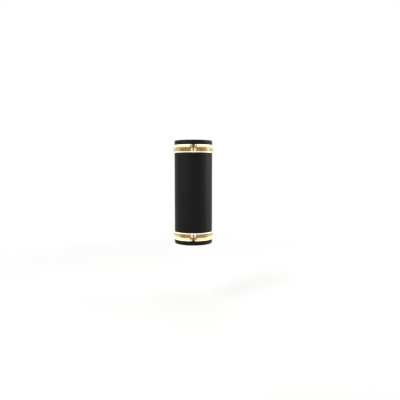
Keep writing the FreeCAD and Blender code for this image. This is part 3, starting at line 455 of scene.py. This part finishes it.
def facet_liner(end, sizes, material):
    """The reflector's mirrored inside: a spun bowl of flat facets."""
    rim = LAMP_HIGH.z - sizes.facet_inset
    neck = rim - sizes.bowl_depth
    mouth_r = LAMP_R - sizes.rim_wall
    neck_r = sizes.neck_r
    middle = Vector(((mouth_r + neck_r) / 2 + sizes.swell, 0, (rim + neck) / 2))
    first = Vector((neck_r, 0, neck))
    last = Vector((mouth_r, 0, rim))
    pull = 2 * middle - (first + last) / 2
    curve = geometry.interpolate_bezier(first, first.lerp(pull, 2 / 3), last.lerp(pull, 2 / 3), last,
                                        sizes.facet_rows + 1)
    shape = bmesh.new()
    verts = [shape.verts.new(point + Vector((0, AXIS_Y, 0))) for point in curve]
    edges = [shape.edges.new(pair) for pair in zip(verts, verts[1:])]
    bmesh.ops.spin(shape, geom=verts + edges, cent=(0, AXIS_Y, 0), axis=(0, 0, 1), dvec=(0, 0, 0),
                   angle=2 * math.pi, steps=sizes.facets_round, use_merge=True)
    facet = shape.faces.layers.float.new("facet")
    for face in shape.faces:
        face[facet] = noise.cell(face.calc_center_median() / sizes.facet_cell)
    shape.faces.ensure_lookup_table()
    shape.normal_update()
    first_face = shape.faces[0]
    if first_face.normal.dot(first_face.calc_center_median() - Vector((0, AXIS_Y, neck))) > 0:
        bmesh.ops.reverse_faces(shape, faces=shape.faces)
    bmesh.ops.solidify(shape, geom=shape.faces[:], thickness=sizes.facet_wall)
    if end == "lower":
        turn_over(shape)
    return keep(f"{end}_mirror_facets", shape, material, f"{end}_lamp")


def capsule_coil(end, sizes, material):
    """The wound coil that stands in the capsule."""
    foot = LAMP_LOW.z + sizes.coil_foot
    shape = bmesh.new()
    start = Matrix.Translation((sizes.coil_r, AXIS_Y, foot)) @ Matrix.Rotation(math.pi / 2, 4, "X")
    ring = bmesh.ops.create_circle(shape, cap_ends=False, segments=WIRE_SIDES, radius=sizes.wire_r,
                                   matrix=start)
    edges = list({edge for vert in ring["verts"] for edge in vert.link_edges})
    steps = TURN_STEPS * sizes.coil_turns
    bmesh.ops.spin(shape, geom=ring["verts"] + edges, cent=(0, AXIS_Y, 0), axis=(0, 0, 1),
                   dvec=(0, 0, sizes.coil_length / steps), angle=2 * math.pi * sizes.coil_turns,
                   steps=steps)
    bmesh.ops.holes_fill(shape, edges=[edge for edge in shape.edges if edge.is_boundary])
    bmesh.ops.recalc_face_normals(shape, faces=shape.faces)
    if end == "lower":
        turn_over(shape)
    return keep(f"{end}_capsule_coil", shape, material, f"{end}_lamp", smooth=True)


def screw_threads(end, sizes, material):
    """The coarse self-cutting threads of the three cap screws, where they enter the tube's ports."""
    shape = bmesh.new()
    turns = sizes.thread_length / sizes.thread_pitch
    steps = round(turns * TURN_STEPS)
    top = tube_high.z - sizes.thread_top
    for centre in SCREW_PLACES:
        crest = centre + Vector((CAP_SCREW_R + sizes.thread_rise, 0, top))
        root = centre + Vector((CAP_SCREW_R - sizes.thread_rise, 0, top))
        half = Vector((0, 0, sizes.thread_pitch * sizes.thread_form))
        corners = [shape.verts.new(root - half), shape.verts.new(crest), shape.verts.new(root + half)]
        edges = [shape.edges.new((corners[i], corners[i - 1])) for i in range(3)]
        bmesh.ops.spin(shape, geom=corners + edges, cent=centre, axis=(0, 0, 1),
                       dvec=(0, 0, -sizes.thread_length / steps), angle=-2 * math.pi * turns, steps=steps)
    bmesh.ops.holes_fill(shape, edges=[edge for edge in shape.edges if edge.is_boundary])
    bmesh.ops.recalc_face_normals(shape, faces=shape.faces)
    if end == "lower":
        turn_over(shape)
    return keep(f"{end}_cap_screw_threads", shape, material, f"{end}_lens_stack")


class WallLightSizes(bpy.types.PropertyGroup):
    """Sizes of the small parts that are modelled here."""
    thread_length: FloatProperty(name="Thread length", description="Length of the cap screws' threads",
                                 default=17.6 * MM, min=0.001, unit="LENGTH")
    thread_pitch: FloatProperty(name="Thread pitch", description="Rise of the cap screws' threads a turn",
                                default=1.1 * MM, min=0.0001, unit="LENGTH")
    thread_rise: FloatProperty(name="Thread rise", description="Height of the threads over the shank",
                               default=0.09 * MM, min=0, unit="LENGTH")
    thread_form: FloatProperty(name="Thread form", description="Half of a thread's foot, over its pitch",
                               default=0.2, min=0.01, max=0.5, subtype="FACTOR")
    thread_top: FloatProperty(name="Thread top", description="Threads begin this far inside the tube",
                              default=2.0 * MM, unit="LENGTH")
    bowl_depth: FloatProperty(name="Bowl depth", description="Rim to neck inside the reflector",
                              default=21.6 * MM, min=0.005, unit="LENGTH")
    rim_wall: FloatProperty(name="Rim wall", description="Glass outside the mirrored bowl at the rim",
                            default=3.0 * MM, min=0, unit="LENGTH")
    neck_r: FloatProperty(name="Neck", description="Radius of the mirrored bowl at the neck",
                          default=11.3 * MM, min=0.001, unit="LENGTH")
    swell: FloatProperty(name="Swell", description="Bulge of the bowl outside a straight cone",
                         default=1.9 * MM, unit="LENGTH")
    facet_inset: FloatProperty(name="Facet inset", description="Mirrored bowl under the lamp's rim",
                               default=2.0 * MM, min=0, unit="LENGTH")
    facet_wall: FloatProperty(name="Facet wall", description="Thickness of the mirrored liner",
                              default=0.12 * MM, min=0, unit="LENGTH")
    facet_cell: FloatProperty(name="Facet cell", description="Facets this far apart differ in brightness",
                              default=0.5 * MM, min=0.00001, unit="LENGTH")
    facet_rows: IntProperty(name="Facet rows", description="Rows of facets from neck to rim", default=8,
                            min=2)
    facets_round: IntProperty(name="Facets round", description="Facets in each row", default=26, min=6)
    coil_r: FloatProperty(name="Coil radius", description="Radius of the coil", default=1.1 * MM,
                          min=0.0001, unit="LENGTH")
    wire_r: FloatProperty(name="Coil wire", description="Radius of the coil's wire", default=0.28 * MM,
                          min=0.00001, unit="LENGTH")
    coil_foot: FloatProperty(name="Coil foot", description="Coil above the capsule's foot",
                             default=8.0 * MM, unit="LENGTH")
    coil_length: FloatProperty(name="Coil length", description="Length of the coil", default=6.5 * MM,
                               min=0.0001, unit="LENGTH")
    coil_turns: IntProperty(name="Coil turns", description="Turns of the coil", default=7, min=1)


class WallLightLook(bpy.types.PropertyGroup):
    """Colours and light levels of the finishes."""
    coat: FloatVectorProperty(name="Coat", description="Colour of the powder coat", subtype="COLOR",
                              default=from_hex("#060605"), min=0, max=1)
    coat_roughness: FloatProperty(name="Coat roughness", description="Roughness of the powder coat",
                                  default=0.5, min=0.1, max=1, subtype="FACTOR")
    # Colour and strength of the painted glow at the ring's satin edges
    cream: FloatVectorProperty(name="Edge glow colour", description="Light that leaves the satin edges",
                               subtype="COLOR", default=from_hex("#FFF8E6"), min=0, max=1)
    edge_glow: FloatProperty(name="Edge glow", description="Strength of the light from the satin edges",
                             default=1.4, min=0, max=10)
    acrylic: FloatVectorProperty(name="Acrylic", description="Tint that the lamp gives the clear wall",
                                 subtype="COLOR", default=from_hex("#B8A370"), min=0, max=1)
    # Colour of the painted shade in the screw holes and beside the screw columns
    acrylic_painted_shade: FloatVectorProperty(name="Acrylic shade", subtype="COLOR",
                                       description="Screw holes and the sides of the screw columns",
                                       default=from_hex("#2E220C"), min=0, max=1)
    polished_lip: FloatProperty(name="Polished lip", description="Flare left clear above the bore",
                                default=1.0 * MM, min=0, unit="LENGTH")
    satin_foot: FloatProperty(name="Satin foot", description="Satin band on the outside, by the tube",
                              default=2.4 * MM, min=0, unit="LENGTH")
    foot_share: FloatProperty(name="Satin foot glow", description="Glow at the foot, against the flare",
                              default=0.75, min=0, max=1, subtype="FACTOR")
    corner_width: FloatProperty(name="Dark corner", description="Shade where flare and column meet",
                                default=2.0 * MM, min=0.0007, unit="LENGTH")
    column_share: FloatProperty(name="Column glow", description="Glow at the columns, against the edges",
                                default=0.9, min=0, max=1, subtype="FACTOR")
    # Strength of the painted glow over the whole clear wall
    wall_glow: FloatProperty(name="Wall glow", description="Light that the clear wall itself gives off",
                             default=0.05, min=0, max=10)
    amber: FloatVectorProperty(name="Reflector glow colour", subtype="COLOR",
                               description="Light that passes the lamp's mirror coat",
                               default=from_hex("#D2992A"), min=0, max=1)
    reflector_glow: FloatProperty(name="Reflector glow", description="Strength of the reflector's glow",
                                  default=0.88, min=0, max=10)
    warm_white: FloatVectorProperty(name="Lamp colour", description="Light of the lamp's front",
                                    subtype="COLOR", default=from_hex("#FFE9C4"), min=0, max=1)
    # Also sets the strength of the painted reflection in the mirror facets
    lamp_glow: FloatProperty(name="Lamp glow", description="Strength of the lamp's front",
                             default=0.8, min=0, max=50)
    coil_glow: FloatProperty(name="Coil glow", description="Strength of the lamp's coil", default=9,
                             min=0, max=200)


class WallLightStudio(bpy.types.PropertyGroup):
    """The camera's place and the studio's light."""
    distance: FloatProperty(name="Camera distance", description="Camera to the tube's axis",
                            default=755 * MM, min=0.1, unit="LENGTH")
    height: FloatProperty(name="Camera height", description="Camera above the middle of the light",
                          default=43 * MM, unit="LENGTH")
    focal_px: FloatProperty(name="Focal length", description="Focal length in pixels of the photograph",
                            default=404, min=50)
    column: FloatProperty(name="Column", description="Pixel column of the tube's axis in the photograph",
                          default=193.4)
    horizon: FloatProperty(name="Horizon", description="Pixel row of the camera's height",
                           default=169.0)
    floor_drop: FloatProperty(name="Floor drop", description="Floor below the light", default=110 * MM,
                              min=0, unit="LENGTH")
    softbox: FloatProperty(name="Softbox", description="Power of the main soft light, in watts",
                           default=8, min=0)
    fill: FloatProperty(name="Fill", description="Strength of the even light from all round",
                        default=0.3, min=0)


class WALLLIGHT_OT_coated(bpy.types.Operator):
    """Powder coat on the tube, the caps and the back box"""
    bl_idname = "wall_light.coated"
    bl_label = "Coated pieces"

    def execute(self, context):
        coat = satin_powder_coat(context.scene.wall_light_look)
        finish_node("tube_body", coat)
        finish_node("back_box", coat)
        finish_ends(["cap"], coat)
        return {"FINISHED"}


class WALLLIGHT_OT_rings(bpy.types.Operator):
    """The clear rings that glow at both ends"""
    bl_idname = "wall_light.rings"
    bl_label = "Clear rings"

    def execute(self, context):
        finish_ends(["ring"], clear_acrylic(context.scene.wall_light_look))
        return {"FINISHED"}


class WALLLIGHT_OT_glazing(bpy.types.Operator):
    """Glass in the caps, with its seals and the gaskets"""
    bl_idname = "wall_light.glazing"
    bl_label = "Glass and seals"

    def execute(self, context):
        finish_ends(["glass"], toughened_glass())
        silicone = moulded("black_silicone", from_hex("#0D0D0D"), from_hex("#161616"),
                           roughness=0.35, grit_mm=1.2, depth_mm=0.02)
        rubber = moulded("black_rubber", from_hex("#101010"), from_hex("#1B1A19"),
                         roughness=0.6, grit_mm=0.5, depth_mm=0.03)
        finish_ends(["glass_seal"], silicone)
        finish_ends(["rim_gasket", "tube_gasket"], rubber)
        finish_node("wire_grommet", rubber)
        finish_node("box_gasket", closed_cell_foam())
        return {"FINISHED"}


class WALLLIGHT_OT_lamps(bpy.types.Operator):
    """Lamps and their holders"""
    bl_idname = "wall_light.lamps"
    bl_label = "Lamps"

    def execute(self, context):
        look = context.scene.wall_light_look
        finish_ends(["lamp_front_glass"], lamp_lens(look))
        finish_ends(["lamp_reflector"], mirror_coated_glass(look))
        finish_ends(["lamp_capsule"], quartz())
        facets = mirror_facets(look)
        coil = glowing_coil(look)
        for end in ENDS:
            facet_liner(end, context.scene.wall_light_sizes, facets)
            capsule_coil(end, context.scene.wall_light_sizes, coil)
        finish_ends(["lamp_base", "lampholder"], steatite())
        return {"FINISHED"}


class WALLLIGHT_OT_fixings(bpy.types.Operator):
    """Screws, brackets and contacts"""
    bl_idname = "wall_light.fixings"
    bl_label = "Metal fixings"

    def execute(self, context):
        plain = worked_metal("turned_steel", from_hex("#B4B4B2"), from_hex("#85847F"),
                             roughness=0.34, brush_mm=0.5)
        bright = worked_metal("stainless_steel", from_hex("#A9A8A4"), from_hex("#7C7B77"),
                              roughness=0.32, brush_mm=0.4)
        brass = worked_metal("pressed_brass", from_hex("#D8B566"), from_hex("#A8813A"),
                             roughness=0.3, brush_mm=0.5)
        tin = worked_metal("tinned_copper", from_hex("#CFCDC8"), from_hex("#A9A6A0"),
                           roughness=0.35, brush_mm=0.8)
        zinc = zinc_plate()
        finish_ends(["lamp_pins", "holder_nuts", "holder_screws"], plain)
        for name in ("saddle_screws", "block_screws", "terminal_screws", "bracket_spacers"):
            finish_node(name, plain)
        finish_ends(["cap_screws"], bright)
        for end in ENDS:
            screw_threads(end, context.scene.wall_light_sizes, bright)
        finish_node("box_side_screws", bright)
        finish_ends(["contacts"], brass)
        for name in ("terminal_clamps", "earth_screw"):
            finish_node(name, brass)
        finish_node("earth_lug", tin)
        finish_node("lamp_bracket", zinc)
        finish_node("wall_bracket", zinc)
        return {"FINISHED"}


class WALLLIGHT_OT_wiring(bpy.types.Operator):
    """Terminal block and leads"""
    bl_idname = "wall_light.wiring"
    bl_label = "Wiring"

    def execute(self, context):
        nylon = moulded("natural_nylon", from_hex("#E4E2D8"), from_hex("#D2CFC2"),
                        roughness=0.42, grit_mm=0.9, depth_mm=0.02)
        finish_node("terminal_block", nylon)
        sleeves = {("upper_live_lead", "lower_live_lead"): ("brown_silicone_sleeve", "#5A3420", "#472817"),
                   ("upper_neutral_lead", "lower_neutral_lead"): ("blue_silicone_sleeve", "#2A5B9E",
                                                                  "#21497F"),
                   ("earth_lead",): ("green_silicone_sleeve", "#4E9A2E", "#3C7D22")}
        for leads, (name, pale, dark) in sleeves.items():
            sleeve = moulded(name, from_hex(pale), from_hex(dark), roughness=0.4, grit_mm=0.6, depth_mm=0.02)
            for lead in leads:
                finish_node(lead, sleeve)
        return {"FINISHED"}


class WALLLIGHT_OT_studio(bpy.types.Operator):
    """Pale floor, soft lights and the camera at the photograph's viewing angle"""
    bl_idname = "wall_light.studio"
    bl_label = "Studio"

    def execute(self, context):
        studio = context.scene.wall_light_studio
        make_floor(studio)
        make_world(studio)
        middle = Vector((0, AXIS_Y, 0))
        for name, at, width, height, share in LIGHTS:
            soft_light(name, middle + Vector(at), middle, width, height, studio.softbox * share)
        make_camera(studio)
        context.scene.view_settings.view_transform = "Standard"
        return {"FINISHED"}


# ---- Studio
def make_floor(studio):
    """A wide pale disc. Near the light it takes shadow, and far out it runs into the background.
    From below it is clear, so the underside of the light can be seen."""
    mesh = bpy.data.meshes.new("studio_floor")
    shape = bmesh.new()
    level = cad_low.z - studio.floor_drop
    bmesh.ops.create_circle(shape, cap_ends=True, radius=FLOOR_R, segments=FLOOR_SIDES,
                            matrix=Matrix.Translation((0, 0, level)))
    shape.to_mesh(mesh)
    shape.free()
    floor = bpy.data.objects.new("studio_floor", mesh)
    bpy.context.scene.collection.objects.link(floor)
    made, tree, shader = begin("pale_floor", Roughness=0.9)
    shader.inputs["Base Color"].default_value = opaque(from_hex("#F6F6F4"))
    white = add(tree, "ShaderNodeEmission", {"Color": opaque(from_hex("#FFFFFF")), "Strength": 1.0})
    away = add(tree, "ShaderNodeVectorMath", {0: place(tree)}, operation="LENGTH").outputs["Value"]
    fade = between(tree, away, *FLOOR_WHITE, FLOOR_NEAR_SHARE, 1.0)
    seen = maths(tree, "MULTIPLY", fade, rays_that_see(tree))
    mixed = add(tree, "ShaderNodeMixShader", {0: seen, 1: shader.outputs[0], 2: white.outputs[0]})
    below = add(tree, "ShaderNodeNewGeometry").outputs["Backfacing"]
    clear = add(tree, "ShaderNodeBsdfTransparent")
    sided = add(tree, "ShaderNodeMixShader", {0: below, 1: mixed.outputs[0], 2: clear.outputs[0]})
    output = next(n for n in tree.nodes if n.type == "OUTPUT_MATERIAL")
    tree.links.new(sided.outputs[0], output.inputs["Surface"])
    floor.data.materials.append(made)


def rays_that_see(tree):
    """1 for rays that look at the background, straight or by a mirror or through glass."""
    path = add(tree, "ShaderNodeLightPath")
    direct = maths(tree, "MAXIMUM", path.outputs["Is Camera Ray"], path.outputs["Is Glossy Ray"])
    return maths(tree, "MAXIMUM", direct, path.outputs["Is Transmission Ray"])


def make_world(studio):
    world = bpy.data.worlds.new("studio")
    bpy.context.scene.world = world
    world.use_nodes = True
    tree = world.node_tree
    tree.nodes.clear()
    soft = add(tree, "ShaderNodeBackground", {"Color": opaque(from_hex("#F4F4F2")),
                                              "Strength": studio.fill})
    white = add(tree, "ShaderNodeBackground", {"Color": opaque(from_hex("#FFFFFF")), "Strength": 1.0})
    mixed = add(tree, "ShaderNodeMixShader", {0: rays_that_see(tree), 1: soft.outputs[0],
                                              2: white.outputs[0]})
    add(tree, "ShaderNodeOutputWorld", {"Surface": mixed.outputs[0]})


def soft_light(name, at, target, width, height, power):
    lamp = bpy.data.lights.new(name, "AREA")
    lamp.shape = "RECTANGLE"
    lamp.size = width
    lamp.size_y = height
    lamp.energy = power
    holder = bpy.data.objects.new(name, lamp)
    holder.location = at
    holder.rotation_euler = (target - at).to_track_quat("-Z", "Y").to_euler()
    bpy.context.scene.collection.objects.link(holder)


def make_camera(studio):
    """Tipped and turned so that the camera's height falls on its row of the photograph, and the tube's
    axis on its column."""
    lens = bpy.data.cameras.new("camera")
    lens.sensor_width = SENSOR_MM
    lens.lens = SENSOR_MM * studio.focal_px / PHOTO_WIDTH
    camera = bpy.data.objects.new("camera", lens)
    down = math.atan((PHOTO_WIDTH / 2 - studio.horizon) / studio.focal_px)
    across = math.atan((PHOTO_WIDTH / 2 - studio.column) / studio.focal_px)
    camera.location = (0, AXIS_Y - studio.distance, studio.height)
    camera.rotation_euler = (math.pi / 2 - down, 0, -across)
    bpy.context.scene.collection.objects.link(camera)
    bpy.context.scene.camera = camera


# ---- Add-on
PIECES = (WALLLIGHT_OT_coated, WALLLIGHT_OT_rings, WALLLIGHT_OT_glazing, WALLLIGHT_OT_lamps,
          WALLLIGHT_OT_fixings, WALLLIGHT_OT_wiring, WALLLIGHT_OT_studio)


class WALLLIGHT_PT_panel(bpy.types.Panel):
    """Lists the steps that finish the wall light"""
    bl_label = "Wall light"
    bl_space_type = "VIEW_3D"
    bl_region_type = "UI"
    bl_category = "Wall light"

    def draw(self, context):
        for step in PIECES:
            self.layout.operator(step.bl_idname)
        scene = context.scene
        for group in (scene.wall_light_sizes, scene.wall_light_look, scene.wall_light_studio):
            box = self.layout.box()
            for name in group.__annotations__:
                box.prop(group, name)


CLASSES = (WallLightSizes, WallLightLook, WallLightStudio, *PIECES, WALLLIGHT_PT_panel)


def register():
    for made in CLASSES:
        bpy.utils.register_class(made)
    bpy.types.Scene.wall_light_sizes = PointerProperty(type=WallLightSizes)
    bpy.types.Scene.wall_light_look = PointerProperty(type=WallLightLook)
    bpy.types.Scene.wall_light_studio = PointerProperty(type=WallLightStudio)


def unregister():
    del bpy.types.Scene.wall_light_studio
    del bpy.types.Scene.wall_light_look
    del bpy.types.Scene.wall_light_sizes
    for made in reversed(CLASSES):
        bpy.utils.unregister_class(made)


def main():
    register()
    for step in PIECES:
        group, name = step.bl_idname.split(".")
        getattr(getattr(bpy.ops, group), name)()


if __name__ == "__main__":
    main()
